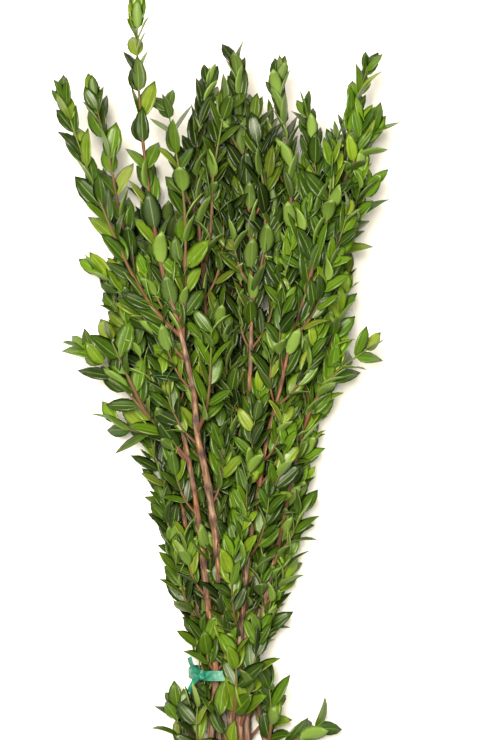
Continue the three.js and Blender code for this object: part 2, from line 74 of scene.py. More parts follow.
# ---- The branches' growth ------------------------------------------------------------------------
# Each branch is one woody stem that grew with opposite side shoots, each pair turned a quarter turn
# from the last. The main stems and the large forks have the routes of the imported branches; the small
# side shoots grow out of them here.
#
# In millimetres: the stem's radius, how much of its foot and of its crown has no side shoots, and the
# internode between its leaf pairs. Tone is how light its leaves are beside those of the others. The
# first route is the main stem's, from its cut end to its tip, and the others are its forks'.
BRANCHES = {
    "branch_front_fork": {
        "radius": 4.6, "bare": 210, "crown": 200, "internode": 14.5, "seed": 11, "tone": 0.85,
        "routes": [
            [(14, -112, 40), (7, -50, 42), (3, 0, 44), (1, 54, 49), (-5, 100, 56), (-10, 142, 62),
             (-18, 194, 70), (-26, 232, 76), (-29, 270, 82), (-35, 299, 87), (-40, 322, 90),
             (-58, 385, 98), (-66, 430, 102), (-73, 480, 104), (-79, 545, 104), (-81, 600, 103),
             (-81, 626, 103)],
            [(-40, 322, 90), (-63, 345, 94), (-81, 372, 98), (-98, 406, 102), (-117, 452, 104),
             (-135, 500, 104), (-152, 552, 103)],
            [(-39, 318, 89), (-37, 378, 97), (-37, 440, 101), (-46, 500, 101), (-54, 540, 99)],
            [(-35, 299, 87), (-54, 318, 84), (-74, 338, 80), (-88, 362, 78)],
            [(-26, 232, 76), (-17, 256, 92), (-13, 294, 104), (-12, 334, 111)],
            [(7, -50, 42), (10, -24, 56), (11, 0, 62), (9, 28, 66)],
            [(11, -84, 41), (4, -68, 52), (-3, -48, 58), (-8, -22, 59)],
        ],
    },
    "branch_left": {
        "radius": 3.6, "bare": 40, "crown": 140, "internode": 13, "seed": 12, "tone": 0.92,
        "routes": [
            [(-20, -104, 40), (-13, -50, 40), (-9, 0, 41), (-17, 73, 45), (-26, 152, 50), (-34, 202, 54),
             (-45, 254, 58), (-62, 320, 62), (-83, 382, 68), (-99, 439, 72), (-110, 498, 74),
             (-121, 540, 74), (-124, 558, 74)],
            [(-35, 206, 55), (-58, 232, 60), (-76, 252, 64), (-98, 277, 66), (-118, 300, 66),
             (-132, 311, 66)],
            [(-56, 230, 60), (-75, 232, 56), (-93, 236, 52), (-108, 246, 50)],
            [(-76, 252, 64), (-92, 286, 70), (-103, 310, 72), (-110, 326, 72)],
            [(-62, 322, 62), (-80, 352, 58), (-98, 368, 54), (-118, 384, 52)],
            [(-18, -92, 40), (-24, -74, 50), (-27, -52, 56), (-26, -24, 57)],
            [(-19, -98, 40), (-32, -84, 41), (-42, -64, 40), (-47, -38, 36)],
        ],
    },
    "branch_left_low": {
        "radius": 3, "bare": 30, "crown": 110, "internode": 12, "seed": 13, "tone": 0.7,
        "routes": [
            [(-34, -96, 26), (-27, -50, 25), (-21, 0, 25), (-32, 100, 22), (-50, 200, 20), (-72, 300, 22),
             (-96, 380, 24), (-112, 440, 26), (-119, 474, 26)],
            [(-30, -68, 25), (-41, -50, 22), (-49, -28, 20)],
        ],
    },
    "branch_mid_left": {
        "radius": 3.2, "bare": 60, "crown": 75, "internode": 10, "seed": 14, "tone": 0.56,
        "routes": [
            [(-6, -118, 25), (-6, -50, 28), (-6, 0, 30), (-8, 100, 36), (-8, 168, 42), (-12, 263, 52),
             (-19, 358, 64), (-24, 425, 74), (-26, 472, 78), (-25, 507, 80), (-19, 545, 80),
             (-15, 564, 80)],
            [(-21, 380, 67), (-13, 425, 78), (-11, 470, 86), (-3, 520, 90), (2, 545, 90)],
        ],
    },
    "branch_middle": {
        "radius": 3.6, "bare": 70, "crown": 60, "internode": 10, "seed": 15, "tone": 0.48,
        "routes": [
            [(24, -108, 38), (20, -50, 39), (19, 0, 40), (18, 60, 44), (20, 130, 49), (23, 263, 59),
             (25, 333, 65), (25, 365, 69), (24, 426, 75), (20, 472, 77), (14, 539, 77), (10, 588, 76)],
            [(25, 350, 67), (36, 400, 76), (38, 440, 82), (33, 490, 84), (28, 520, 84)],
        ],
    },
    "branch_middle_low": {
        "radius": 3, "bare": 120, "crown": 90, "internode": 12, "seed": 16, "tone": 0.36,
        "routes": [
            [(6, -100, 14), (4, -50, 16), (3, 0, 18), (2, 100, 19), (1, 200, 23), (-1, 300, 30),
             (-3, 390, 37), (-2, 440, 41), (2, 500, 44), (4, 536, 45)],
        ],
    },
    "branch_mid_right": {
        "radius": 3.4, "bare": 40, "crown": 90, "internode": 10, "seed": 17, "tone": 0.68,
        "routes": [
            [(14, -102, 27), (15, -50, 28), (15, 0, 29), (24, 80, 35), (37, 160, 43), (46, 222, 50),
             (53, 290, 57), (60, 370, 64), (62, 407, 67), (62, 469, 69), (57, 522, 69), (51, 552, 69),
             (52, 576, 69)],
        ],
    },
    "branch_front_right": {
        "radius": 3.2, "bare": 70, "crown": 95, "internode": 11, "seed": 18, "tone": 0.9,
        "routes": [
            [(15, -94, 50), (14, -50, 48), (13, 0, 45), (20, 100, 58), (33, 187, 72), (41, 232, 78),
             (50, 265, 82), (63, 323, 88), (71, 347, 90), (80, 379, 92), (84, 420, 92), (86, 463, 90),
             (80, 515, 88), (76, 540, 88)],
            [(80, 379, 92), (93, 420, 96), (98, 455, 98), (100, 490, 98)],
            [(14, -50, 48), (21, -26, 57), (25, 0, 61), (30, 24, 63), (33, 46, 63)],
        ],
    },
    "branch_right": {
        "radius": 3.4, "bare": 40, "crown": 85, "internode": 10, "seed": 19, "tone": 1.28,
        "routes": [
            [(22, -110, 18), (22, -50, 20), (22, 0, 21), (42, 120, 28), (62, 200, 35), (82, 290, 45),
             (96, 370, 55), (106, 440, 63), (112, 490, 68), (120, 530, 70), (130, 562, 70), (135, 580, 70)],
            [(106, 440, 63), (116, 478, 71), (130, 503, 76), (144, 522, 78)],
            [(98, 385, 57), (115, 416, 60), (129, 447, 62), (141, 476, 62)],
            [(22, -68, 20), (36, -50, 17), (47, -28, 15)],
        ],
    },
    "branch_right_side": {
        "radius": 2.9, "bare": 40, "crown": 80, "internode": 10, "seed": 20, "tone": 1.1,
        "routes": [
            [(44, -90, 35), (35, -50, 33), (27, 0, 32), (38, 70, 39), (52, 130, 46), (64, 190, 52),
             (77, 246, 57), (88, 300, 60), (98, 346, 61), (104, 372, 62)],
            [(73, 232, 56), (88, 266, 61), (106, 290, 64), (126, 305, 65), (141, 315, 65)],
            [(41, -78, 34), (58, -70, 32), (78, -60, 28), (98, -46, 25)],
            [(40, -72, 34), (43, -56, 44), (44, -34, 49), (42, -10, 49)],
        ],
    },
    "branch_right_low": {
        "radius": 3, "bare": 120, "crown": 90, "internode": 12, "seed": 21, "tone": 0.62,
        "routes": [
            [(14, -92, 11), (12, -50, 12), (11, 0, 13), (26, 110, 12), (50, 220, 14), (82, 330, 17),
             (106, 410, 19), (120, 450, 20)],
        ],
    },
    "branch_table": {
        "radius": 3, "bare": 120, "crown": 90, "internode": 12, "seed": 22, "tone": 0.4,
        "routes": [
            [(-14, -98, 10), (-12, -50, 12), (-11, 0, 13), (-19, 110, 12), (-34, 220, 12), (-54, 330, 14),
             (-68, 420, 17), (-76, 474, 18)],
        ],
    },
    "branch_heart": {
        "radius": 3, "bare": 120, "crown": 90, "internode": 12, "seed": 23, "tone": 0.36,
        "routes": [
            [(5, -104, 31), (4, -50, 31), (4, 0, 31), (8, 100, 36), (13, 200, 41), (20, 300, 46),
             (28, 400, 51), (34, 470, 54), (37, 518, 54)],
        ],
    },
}
FORK_RADIUS = 1.9 * MM
SHOOT_RADIUS = 1.15 * MM
BARE_SHARE = 0.6  # of a main stem, which has lost its own leaves
BARE_START = 12 * MM  # leafless start of a fork or a side shoot
LONG_FORK = 150 * MM  # grows as a stem does; a shorter fork is only a sprig
STEP = 5 * MM  # between the points of a route
ROUTE_DETAIL = 16
SHOOT_PAIR_SPACING = 22 * MM
SPACING_SPREAD = (0.8, 1.25)
SHOOT_CHANCE = 0.9
SHOOT_LENGTHS = (45 * MM, 100 * MM)
SHOOT_REACH = 0.7  # of the way to the stem's tip, at most
SHOOT_RISES = (32, 18, 8, 0)  # degrees away from the stem, from where it leaves to its tip
SHOOT_TURN = 0.3  # radians out of its place round the stem
SHOOT_SWAY = 0.25
STEEPEST_SHOOT = 0.88  # cosine: shoots that pointed nearer to straight up than this were rubbed off
LOWEST_SHOOT = 5 * MM  # a shoot lies on the table, not in it
HIGHEST_SHOOT = 110 * MM  # the topmost shoots bend over along the bunch
TIE_REACH = 45 * MM  # how far to each side of the tie its squeeze is felt
TIE_GRIP = 1.6
TIE_ROOM = 0.78  # how far out a shoot may be inside the loop
QUARTER_TURN = math.pi / 2
UP = Vector((0, 0, 1))


def smooth_route(points):
    """The points of a smooth curve through a route, one step apart."""
    curve = bpy.data.curves.new("route", "CURVE")
    curve.dimensions = "3D"
    spline = curve.splines.new("BEZIER")
    spline.bezier_points.add(len(points) - 1)
    for bezier, point in zip(spline.bezier_points, points):
        bezier.co = point
        bezier.handle_left_type = bezier.handle_right_type = "AUTO"
    spline.resolution_u = ROUTE_DETAIL
    carrier = bpy.data.objects.new("route", curve)
    dense = [v.co.copy() for v in carrier.to_mesh().vertices]
    carrier.to_mesh_clear()
    bpy.data.objects.remove(carrier)
    bpy.data.curves.remove(curve)
    even = [dense[0]]
    walked = 0
    for before, after in zip(dense, dense[1:]):
        walked += (after - before).length
        if walked >= STEP:
            even.append(after)
            walked = 0
    return even


def tangent_at(points, i):
    return (points[min(i + 1, len(points) - 1)] - points[max(i - 1, 0)]).normalized()


def sideways(tangent, angle):
    """A direction square to the tangent, turned by angle round it from the side away from the table."""
    across = UP.cross(tangent).normalized()
    above = tangent.cross(across)
    return above * math.cos(angle) + across * math.sin(angle)


def loop_share(from_tie):
    """How far out a place is across the tie's loop, from 0 in its middle to 1 at the tape."""
    return math.hypot(from_tie.x / TIE_HALF_WIDTH, (from_tie.z - TIE_HEIGHT) / TIE_HALF_HEIGHT)


def squeezed(points):
    """Pulls a shoot in where it passes through the loop of the tie, which holds it against the stems."""
    for point in points:
        from_tie = point - tie_middle
        nearness = max(0, 1 - abs(from_tie.y) / TIE_REACH)
        out = loop_share(from_tie)
        if out > TIE_ROOM:
            share = 1 + (TIE_ROOM / out - 1) * min(1, TIE_GRIP * nearness)
            point.x = tie_middle.x + from_tie.x * share
            point.z = tie_middle.z + TIE_HEIGHT + (from_tie.z - TIE_HEIGHT) * share
    return points


def side_shoot(start, tangent, angle, length, dice):
    """A shoot leans out where it leaves the stem and turns to run along it."""
    out = sideways(tangent, angle)
    sway = sideways(tangent, angle + QUARTER_TURN) * dice.uniform(-SHOOT_SWAY, SHOOT_SWAY)
    points = [start]
    for rise in SHOOT_RISES:
        turned = math.radians(rise)
        step = tangent * math.cos(turned) + (out + sway) * math.sin(turned)
        place = points[-1] + step.normalized() * length / len(SHOOT_RISES)
        place.z = min(max(place.z, LOWEST_SHOOT), HIGHEST_SHOOT)
        points.append(place)
    return squeezed(smooth_route(points))


def grow(branch):
    """Every limb of one branch: its kind, points, radius at its foot and how far up it is leafless."""
    dice = random.Random(branch["seed"])
    stem, *forks = [smooth_route([tie_middle + Vector(p) * MM for p in r]) for r in branch["routes"]]
    reach = len(stem) * STEP
    limbs = [{"kind": "stem", "points": stem, "radius": branch["radius"] * MM, "bare": BARE_SHARE * reach}]
    for fork in forks:
        kind = "stem" if (len(fork) - 1) * STEP > LONG_FORK else "sprig"
        limbs.append({"kind": kind, "points": fork, "radius": FORK_RADIUS, "bare": BARE_START})
    at = branch["bare"] * MM
    turn = dice.uniform(0, math.pi)
    while at < reach - branch["crown"] * MM:
        i = round(at / STEP)
        for side in (0, math.pi):
            angle = turn + side + dice.uniform(-SHOOT_TURN, SHOOT_TURN)
            if dice.random() < SHOOT_CHANCE and math.cos(angle) < STEEPEST_SHOOT:
                length = min(dice.uniform(*SHOOT_LENGTHS), SHOOT_REACH * (reach - at))
                points = side_shoot(stem[i], tangent_at(stem, i), angle, length, dice)
                limbs.append({"kind": "shoot", "points": points, "radius": SHOOT_RADIUS, "bare": BARE_START})
        turn += QUARTER_TURN
        at += SHOOT_PAIR_SPACING * dice.uniform(*SPACING_SPREAD)
    return limbs


growth = {name: grow(branch) for name, branch in BRANCHES.items()}

# ---- Wood ----------------------------------------------------------------------------------------
# The stems are thin, round and woody. Each is a tapering tube that swells a little at the scars of its
# fallen leaf pairs, and is cut square at its lower end.
BARK_SIDES = 9
TIP_RADIUS = 0.45 * MM
LATE_TAPER = 1.4  # a stem keeps its thickness for much of its length
SCAR_SPACING = 25 * MM
SCAR_SWELLING = 0.3
SCAR_SHARPNESS = 6
THIN_WOOD = 2 * MM
YOUNG_FOOT = 0.25  # how young the foot of a thin limb is
OLD_SHARE = 0.6  # of a thick stem
YOUNG_GAIN = 2


def linear(colour):
    """An sRGB hex colour as linear red, green, blue and alpha."""
    shares = [int(colour[i:i + 2], 16) / 255 for i in (1, 3, 5)]
    return [s / 12.92 if s <= 0.04045 else ((s + 0.055) / 1.055) ** 2.4 for s in shares] + [1]


def add(tree, kind, inputs=(), stops=(), **settings):
    """Adds a node, sets its settings and the stops of its colours, and links or fills its inputs."""
    made = tree.nodes.new(kind)
    for name, value in settings.items():
        setattr(made, name, value)
    for i, (place, colour) in enumerate(stops):
        elements = made.color_ramp.elements
        stop = elements[i] if i < len(elements) else elements.new(place)
        stop.position = place
        stop.color = linear(colour)
    for key, value in dict(inputs).items():
        if isinstance(value, bpy.types.NodeSocket):
            tree.links.new(value, made.inputs[key])
        else:
            made.inputs[key].default_value = value
    return made


def bark_material():
    """Myrtle bark: reddish tan and stringy on old wood, smooth and redder on the young shoots. Its
    streaks are drawn 2 mm apart, twice as coarse as real ones, so that they show. The scars of fallen
    leaves are dark rings, and it has next to no gloss."""
    material = bpy.data.materials.new("myrtle_bark")
    material.use_nodes = True
    tree = material.node_tree
    tree.nodes.clear()
    place = add(tree, "ShaderNodeTexCoord").outputs["Object"]
    grain = add(tree, "ShaderNodeAttribute", attribute_name="grain").outputs["Vector"]
    marks = {}
    for label in ("young", "scar", "cut"):
        marks[label] = add(tree, "ShaderNodeAttribute", attribute_name=label).outputs["Fac"]

    stretched = add(tree, "ShaderNodeMapping", {"Vector": grain, "Scale": (480, 480, 80)}).outputs[0]
    streaks = add(tree, "ShaderNodeTexNoise", {"Vector": stretched, "Scale": 1, "Detail": 4}).outputs["Fac"]
    patches = add(tree, "ShaderNodeTexNoise", {"Vector": place, "Scale": 22, "Detail": 2}).outputs["Fac"]
    patch_edges = add(tree, "ShaderNodeMapRange", {0: patches, 1: 0.42, 2: 0.58}).outputs[0]
    red = add(tree, "ShaderNodeValToRGB", {"Fac": streaks}, stops=(
        (0.3, "#3a2316"), (0.45, "#643f29"), (0.58, "#7f5739"), (0.74, "#a8835f"),
    )).outputs[0]
    grey = add(tree, "ShaderNodeValToRGB", {"Fac": streaks}, stops=(
        (0.3, "#3b2c22"), (0.45, "#5e483a"), (0.58, "#7d6552"), (0.74, "#a28c76"),
    )).outputs[0]
    shoot = add(tree, "ShaderNodeValToRGB", {"Fac": marks["young"]}, stops=(
        (0.0, "#542f22"), (0.4, "#5e3a24"), (0.75, "#535022"), (1.0, "#55701f"),
    )).outputs[0]
    wood = add(tree, "ShaderNodeMix", {0: patch_edges, 6: red, 7: grey}, data_type="RGBA").outputs[2]
    scar = add(tree, "ShaderNodeMath", {0: marks["scar"], 1: 0.75}, operation="MULTIPLY").outputs[0]
    wood = add(tree, "ShaderNodeMix", {0: scar, 6: wood, 7: linear("#2f1d14")}, data_type="RGBA").outputs[2]
    fresh = add(tree, "ShaderNodeMapRange", {0: marks["young"], 1: 0.02, 2: 0.2}).outputs[0]
    skin = add(tree, "ShaderNodeMix", {0: fresh, 6: wood, 7: shoot}, data_type="RGBA").outputs[2]
    colour = add(tree, "ShaderNodeMix", {
        0: marks["cut"], 6: skin, 7: linear("#d9c49a"),
    }, data_type="RGBA").outputs[2]
    bump = add(tree, "ShaderNodeBump", {"Height": streaks, "Strength": 0.9, "Distance": 1.2 * MM})
    surface = add(tree, "ShaderNodeBsdfPrincipled", {
        "Base Color": colour, "Roughness": 0.72, "Normal": bump.outputs[0],
    })
    add(tree, "ShaderNodeOutputMaterial", {"Surface": surface.outputs[0]})
    return material


def group_tree(name, inputs):
    """A geometry node tree with a geometry input and output and the named inputs."""
    tree = bpy.data.node_groups.new(name, "GeometryNodeTree")
    tree.interface.new_socket("Geometry", in_out="INPUT", socket_type="NodeSocketGeometry")
    tree.interface.new_socket("Geometry", in_out="OUTPUT", socket_type="NodeSocketGeometry")
    for label, kind in inputs.items():
        tree.interface.new_socket(label, in_out="INPUT", socket_type=kind)
    return tree, add(tree, "NodeGroupInput").outputs


def stems_tree():
    """Turns chains of points into round tapering stems, and marks how far along and round each point
    is, for the grain, and which faces are cut ends."""
    tree, given = group_tree("round_stems", {"Sides": "NodeSocketInt", "Bark": "NodeSocketMaterial"})
    marks = {}
    for label, kind in (("thickness", "FLOAT"), ("along", "FLOAT"), ("round", "FLOAT_VECTOR")):
        mark = add(tree, "GeometryNodeInputNamedAttribute", {"Name": label}, data_type=kind)
        marks[label] = mark.outputs[0]
    chains = add(tree, "GeometryNodeMeshToCurve", {"Mesh": given["Geometry"]}).outputs[0]
    along = add(tree, "GeometryNodeSplineParameter").outputs["Length"]
    chains = add(tree, "GeometryNodeStoreNamedAttribute", {
        "Geometry": chains, "Name": "along", "Value": along,
    }, data_type="FLOAT").outputs[0]
    ring = add(tree, "GeometryNodeCurvePrimitiveCircle", {
        "Resolution": given["Sides"], "Radius": 1,
    }).outputs[0]
    ring = add(tree, "GeometryNodeStoreNamedAttribute", {
        "Geometry": ring, "Name": "round", "Value": add(tree, "GeometryNodeInputPosition").outputs[0],
    }, data_type="FLOAT_VECTOR").outputs[0]
    tube = add(tree, "GeometryNodeCurveToMesh", {
        "Curve": chains, "Profile Curve": ring, "Scale": marks["thickness"], "Fill Caps": True,
    }).outputs[0]
    around = add(tree, "ShaderNodeVectorMath", {
        0: marks["round"], "Scale": marks["thickness"],
    }, operation="SCALE").outputs[0]
    upward = add(tree, "ShaderNodeCombineXYZ", {"Z": marks["along"]}).outputs[0]
    grain = add(tree, "ShaderNodeVectorMath", {0: around, 1: upward}).outputs[0]
    tube = add(tree, "GeometryNodeStoreNamedAttribute", {
        "Geometry": tube, "Name": "grain", "Value": grain,
    }, data_type="FLOAT_VECTOR").outputs[0]
    corners = add(tree, "GeometryNodeInputMeshFaceNeighbors").outputs["Vertex Count"]
    cap = add(tree, "FunctionNodeCompare", {2: corners, 3: 4}, data_type="INT").outputs[0]
    tube = add(tree, "GeometryNodeStoreNamedAttribute", {
        "Geometry": tube, "Name": "cut", "Value": cap,
    }, data_type="FLOAT", domain="FACE").outputs[0]
    wall = add(tree, "FunctionNodeBooleanMath", {0: cap}, operation="NOT").outputs[0]
    tube = add(tree, "GeometryNodeSetShadeSmooth", {"Geometry": tube, "Shade Smooth": wall}).outputs[0]
    solid = add(tree, "GeometryNodeRealizeInstances", {"Geometry": tube}).outputs[0]
    barked = add(tree, "GeometryNodeSetMaterial", {
        "Geometry": solid, "Material": given["Bark"],
    }).outputs[0]
    add(tree, "NodeGroupOutput", {"Geometry": barked})
    return tree


def point_mesh(name, points, edges, attributes):
    """A mesh of points and edges whose points carry the named attributes."""
    mesh = bpy.data.meshes.new(name)
    mesh.from_pydata(points, edges, [])
    for label, values in attributes.items():
        is_vector = isinstance(values[0], Vector)
        layer = mesh.attributes.new(label, "FLOAT_VECTOR" if is_vector else "FLOAT", "POINT")
        for item, value in zip(layer.data, values):
            setattr(item, "vector" if is_vector else "value", value)
    return mesh


def limb_chains(limbs):
    """The limbs as chains of points, each with its thickness, its youth and its leaf scars."""
    points, edges, thickness, young, scars = [], [], [], [], []
    for limb in limbs:
        start = len(points)
        last = len(limb["points"]) - 1
        for i, point in enumerate(limb["points"]):
            share = i / last
            radius = limb["radius"] + (TIP_RADIUS - limb["radius"]) * share ** LATE_TAPER
            scar = max(0, math.cos(2 * math.pi * i * STEP / SCAR_SPACING)) ** SCAR_SHARPNESS
            if limb["radius"] < THIN_WOOD:
                young.append(YOUNG_FOOT + (1 - YOUNG_FOOT) * share)
            else:
                young.append(max(0, share - OLD_SHARE) * YOUNG_GAIN)
            points.append(point)
            thickness.append(radius * (1 + SCAR_SWELLING * scar))
            scars.append(scar)
        edges += [(start + i, start + i + 1) for i in range(last)]
    return point_mesh("chains", points, edges, {"thickness": thickness, "young": young, "scar": scars})


def grown_piece(name, mesh, tree, settings, node):
    """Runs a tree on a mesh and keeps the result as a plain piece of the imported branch."""
    carrier = bpy.data.objects.new(name + "_start", mesh)
    bpy.context.collection.objects.link(carrier)
    modifier = carrier.modifiers.new("grow", "NODES")
    modifier.node_group = tree
    for item in tree.interface.items_tree:
        if item.in_out == "INPUT" and item.name in settings:
            modifier[item.identifier] = settings[item.name]
    evaluated = carrier.evaluated_get(bpy.context.evaluated_depsgraph_get())
    result = bpy.data.meshes.new_from_object(evaluated)
    bpy.data.objects.remove(carrier)
    piece = bpy.data.objects.new(name, result)
    bpy.context.collection.objects.link(piece)
    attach(piece, "root")
    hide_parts(node)


round_stems = stems_tree()
wood_settings = {"Sides": BARK_SIDES, "Bark": bark_material()}
for name, limbs in growth.items():
    wood_name = name.replace("branch", "wood")
    grown_piece(wood_name, limb_chains(limbs), round_stems, wood_settings, name)

# ---- Leaves --------------------------------------------------------------------------------------
# Myrtle leaves are small, stiff and leathery, pointed, and about twice as long as they are wide. They
# sit in opposite pairs on very short stalks, each pair a quarter turn from the last.
BLADE_LENGTH = 32 * MM
BLADE_THICKNESS = 0.5 * MM
SLENDERNESS = 0.48  # width over length
WIDEST_AT = 0.43  # of the way up the blade
FOOT_FULLNESS = 0.72  # a smaller power is rounder
TIP_FULLNESS = 0.95
STALK_HALF_WIDTH = 0.018
RIB_GROOVE = 0.006
BEND_SHORTENING = 0.3
STATIONS = (0, 0.05, 0.17, 0.34, 0.54, 0.77, 1)  # up the blade
COLUMNS = (-1, -0.5, 0, 0.5, 1)  # across it, from edge to edge
BLADE_SHAPES = {  # how far the halves fold up, the tip bends back and the blade twists
    "blade_flat": (0.10, 0.05, 0.0),
    "blade_folded": (0.34, 0.10, 0.15),
    "blade_reflexed": (0.22, 0.24, -0.2),
    "blade_twisted": (0.18, 0.14, 0.45),
    "blade_cupped": (0.28, -0.10, -0.1),
}
LEAVES_ON = {  # by kind of limb: how large they are, the smallest one's share, how far they stand out
    "stem": (1.15, 0.66, 0.72),
    "sprig": (1.15, 0.74, 1.15),
    "shoot": (1.0, 0.74, 1.0),
}
SPRIG_GAP = 15 * MM  # between leaf pairs
SHOOT_GAP = 9.5 * MM
TIP_GAP = 6 * MM
FIRST_PAIR = 0.3  # of a gap, at most, above the leafless foot
LONGEST_TAPER = 65 * MM  # the leaves get smaller over this much of a stem
TAPER_SHARE = 0.35  # and over this share of a short limb
EARLY_GROWTH = 0.6
YOUNG_LENGTH = 35 * MM  # of a fresh tip
YOUNG_FADE = 1.5
FRESHNESS = (0.1, 0.25, 0.4, 1.0)  # how yellow a tip may be
TIE_STRIP = (-26 * MM, 6 * MM)  # no leaf starts here along the bunch, near the tape,
TAPE_ZONE = (0.5, 1.25)  # and this far out across the loop
PAINTED_DEPTH_SHADE = 0.95  # how much painted shade darkens the leaves deep in the bunch
# the shape of the bunch's top, under which the leaves get painted shade
BUNCH_TOP = 55 * MM  # the height of the bunch at the tie
BUNCH_RISE = 0.09  # how fast its top rises and its sides flare from there
BUNCH_FLARE = 0.19
EDGE_ON_BRANCHES = ("branch_mid_right", "branch_right_side")  # their blades stand on edge
EDGE_ON = 0.35  # how far such a blade turns to the light
LEAF_RISE = math.radians(27)
CLOSED_RISE = 0.5  # of that, where the youngest leaves still stand together
TABLE_SOFTNESS = 6 * MM
CHANCES = {  # the limits between which each leaf's own numbers are drawn
    "wander": (-0.35, 0.35),  # radians out of its place round the stem
    "lean": (-1.5, -0.6),  # outwards, times the rise
    "glance": (-0.5, 0.5),  # to one side
    "size": (0.82, 1.12),
    "width": (0.82, 1.1),
    "shade": (0.0, 1.0),
    "light": (0.25, 1.8),  # how far it turns to the light
}


def half_width(t):
    """Half the blade's width at t along it, for a blade one unit long: oval, with a pointed tip."""
    if t <= STATIONS[1]:
        return STALK_HALF_WIDTH
    foot = (t / WIDEST_AT) ** FOOT_FULLNESS
    tip = ((1 - t) / (1 - WIDEST_AT)) ** TIP_FULLNESS
    return SLENDERNESS / 2 * foot * tip


def blade(name, fold, bend, twist):
    """A closed thin blade one unit long: its upper and lower skins share their edges and its tip."""
    body = bmesh.new()
    uv = body.loops.layers.uv.new("blade")
    under = body.faces.layers.float.new("under")
    made = {}

    def vertex(skin, across, t):
        is_edge = abs(across) == 1 or t == 1
        key = ("edge" if is_edge else skin, 0 if t == 1 else across, t)
        if key not in made:
            lift = 0 if is_edge else BLADE_THICKNESS / BLADE_LENGTH / 2
            groove = RIB_GROOVE if across == 0 else 0
            x = across * half_width(t)
            y = t - BEND_SHORTENING * abs(bend) * t ** 3
            z = abs(x) * fold - bend * t ** 2 + (lift if skin == "upper" else -lift) - groove
            cos, sin = math.cos(twist * t), math.sin(twist * t)
            made[key] = body.verts.new((x * cos - z * sin, y, x * sin + z * cos))
        return made[key]

    for t in STATIONS:
        for skin in ("upper", "lower"):
            for across in COLUMNS:
                vertex(skin, across, t)
    for low, high in zip(STATIONS, STATIONS[1:]):
        for skin in ("upper", "lower"):
            for left, right in zip(COLUMNS, COLUMNS[1:]):
                places = [(left, low), (right, low), (right, high), (left, high)]
                if skin == "lower":
                    places.reverse()
                corners = {}
                for across, t in places:
                    corners.setdefault(vertex(skin, across, t), (across / 2 + 0.5, t))
                face = body.faces.new(list(corners))
                face[under] = skin == "lower"
                face.smooth = True
                for loop in face.loops:
                    loop[uv].uv = corners[loop.vert]
    top = [vertex("upper", across, 0) for across in COLUMNS]
    bottom = [vertex("lower", across, 0) for across in COLUMNS[3:0:-1]]
    body.faces.new(list(reversed(top + bottom)))
    bmesh.ops.recalc_face_normals(body, faces=body.faces)
    mesh = bpy.data.meshes.new(name)
    body.to_mesh(mesh)
    body.free()
    return bpy.data.objects.new(name, mesh)


def depth_in_bunch(from_tie):
    """How deep a place is under the top of the bunch, from 0 at its top and sides to 1 on the table."""
    half_bunch = TIE_HALF_WIDTH + BUNCH_FLARE * max(0, from_tie.y)
    top = BUNCH_TOP + BUNCH_RISE * max(0, from_tie.y)
    return max(0, 1 - from_tie.z / top) * max(0, 1 - (from_tie.x / half_bunch) ** 2)


def leaf_nodes(limbs, internode, tone, on_edge, dice):
    """The places of the leaf pairs on a branch, closer together and smaller towards each tip."""
    gaps = {"stem": internode, "sprig": SPRIG_GAP, "shoot": SHOOT_GAP}
    points = []
    marks = {label: [] for label in ("growing", "turn", "length", "young", "tone", "spread", "facing")}
    for limb in limbs:
        size, smallest, spread = LEAVES_ON[limb["kind"]]
        last = len(limb["points"]) - 1
        reach = last * STEP
        at = limb["bare"] + dice.uniform(0, FIRST_PAIR) * SHOOT_GAP
        turn = dice.uniform(0, math.pi)
        freshness = dice.choice(FRESHNESS)
        while at <= reach:
            i = min(round(at / STEP), last)
            from_tie = limb["points"][i] - tie_middle
            out = loop_share(from_tie)
            if TIE_STRIP[0] < from_tie.y < TIE_STRIP[1] and TAPE_ZONE[0] < out < TAPE_ZONE[1]:
                at += SHOOT_GAP
                turn += QUARTER_TURN
                continue
            to_tip = min(1, (reach - at) / min(LONGEST_TAPER, TAPER_SHARE * reach))
            grown = smallest + (1 - smallest) * to_tip ** EARLY_GROWTH
            points.append(limb["points"][i])
            marks["growing"].append(tangent_at(limb["points"], i))
            marks["turn"].append(turn)
            marks["length"].append(BLADE_LENGTH * grown * size)
            marks["young"].append(freshness * max(0, 1 - (reach - at) / YOUNG_LENGTH) ** YOUNG_FADE)
            # painted shade: a leaf's tone is darkened the deeper it lies under the top of the bunch
            marks["tone"].append(tone * (1 - PAINTED_DEPTH_SHADE * depth_in_bunch(from_tie)))
            marks["spread"].append(spread)
            marks["facing"].append(EDGE_ON if on_edge and limb["kind"] != "sprig" else 1)
            turn += QUARTER_TURN
            at += TIP_GAP + (gaps[limb["kind"]] - TIP_GAP) * to_tip
    return point_mesh("leaf_nodes", points, [], marks)


def rotated(tree, rotation, axis, angle):
    """Turns a rotation about one of its own axes."""
    euler = add(tree, "ShaderNodeCombineXYZ", {axis: angle}).outputs[0]
    turn = add(tree, "FunctionNodeEulerToRotation", {0: euler}).outputs[0]
    return add(tree, "FunctionNodeRotateRotation", {
        0: rotation, 1: turn,
    }, rotation_space="LOCAL").outputs[0]


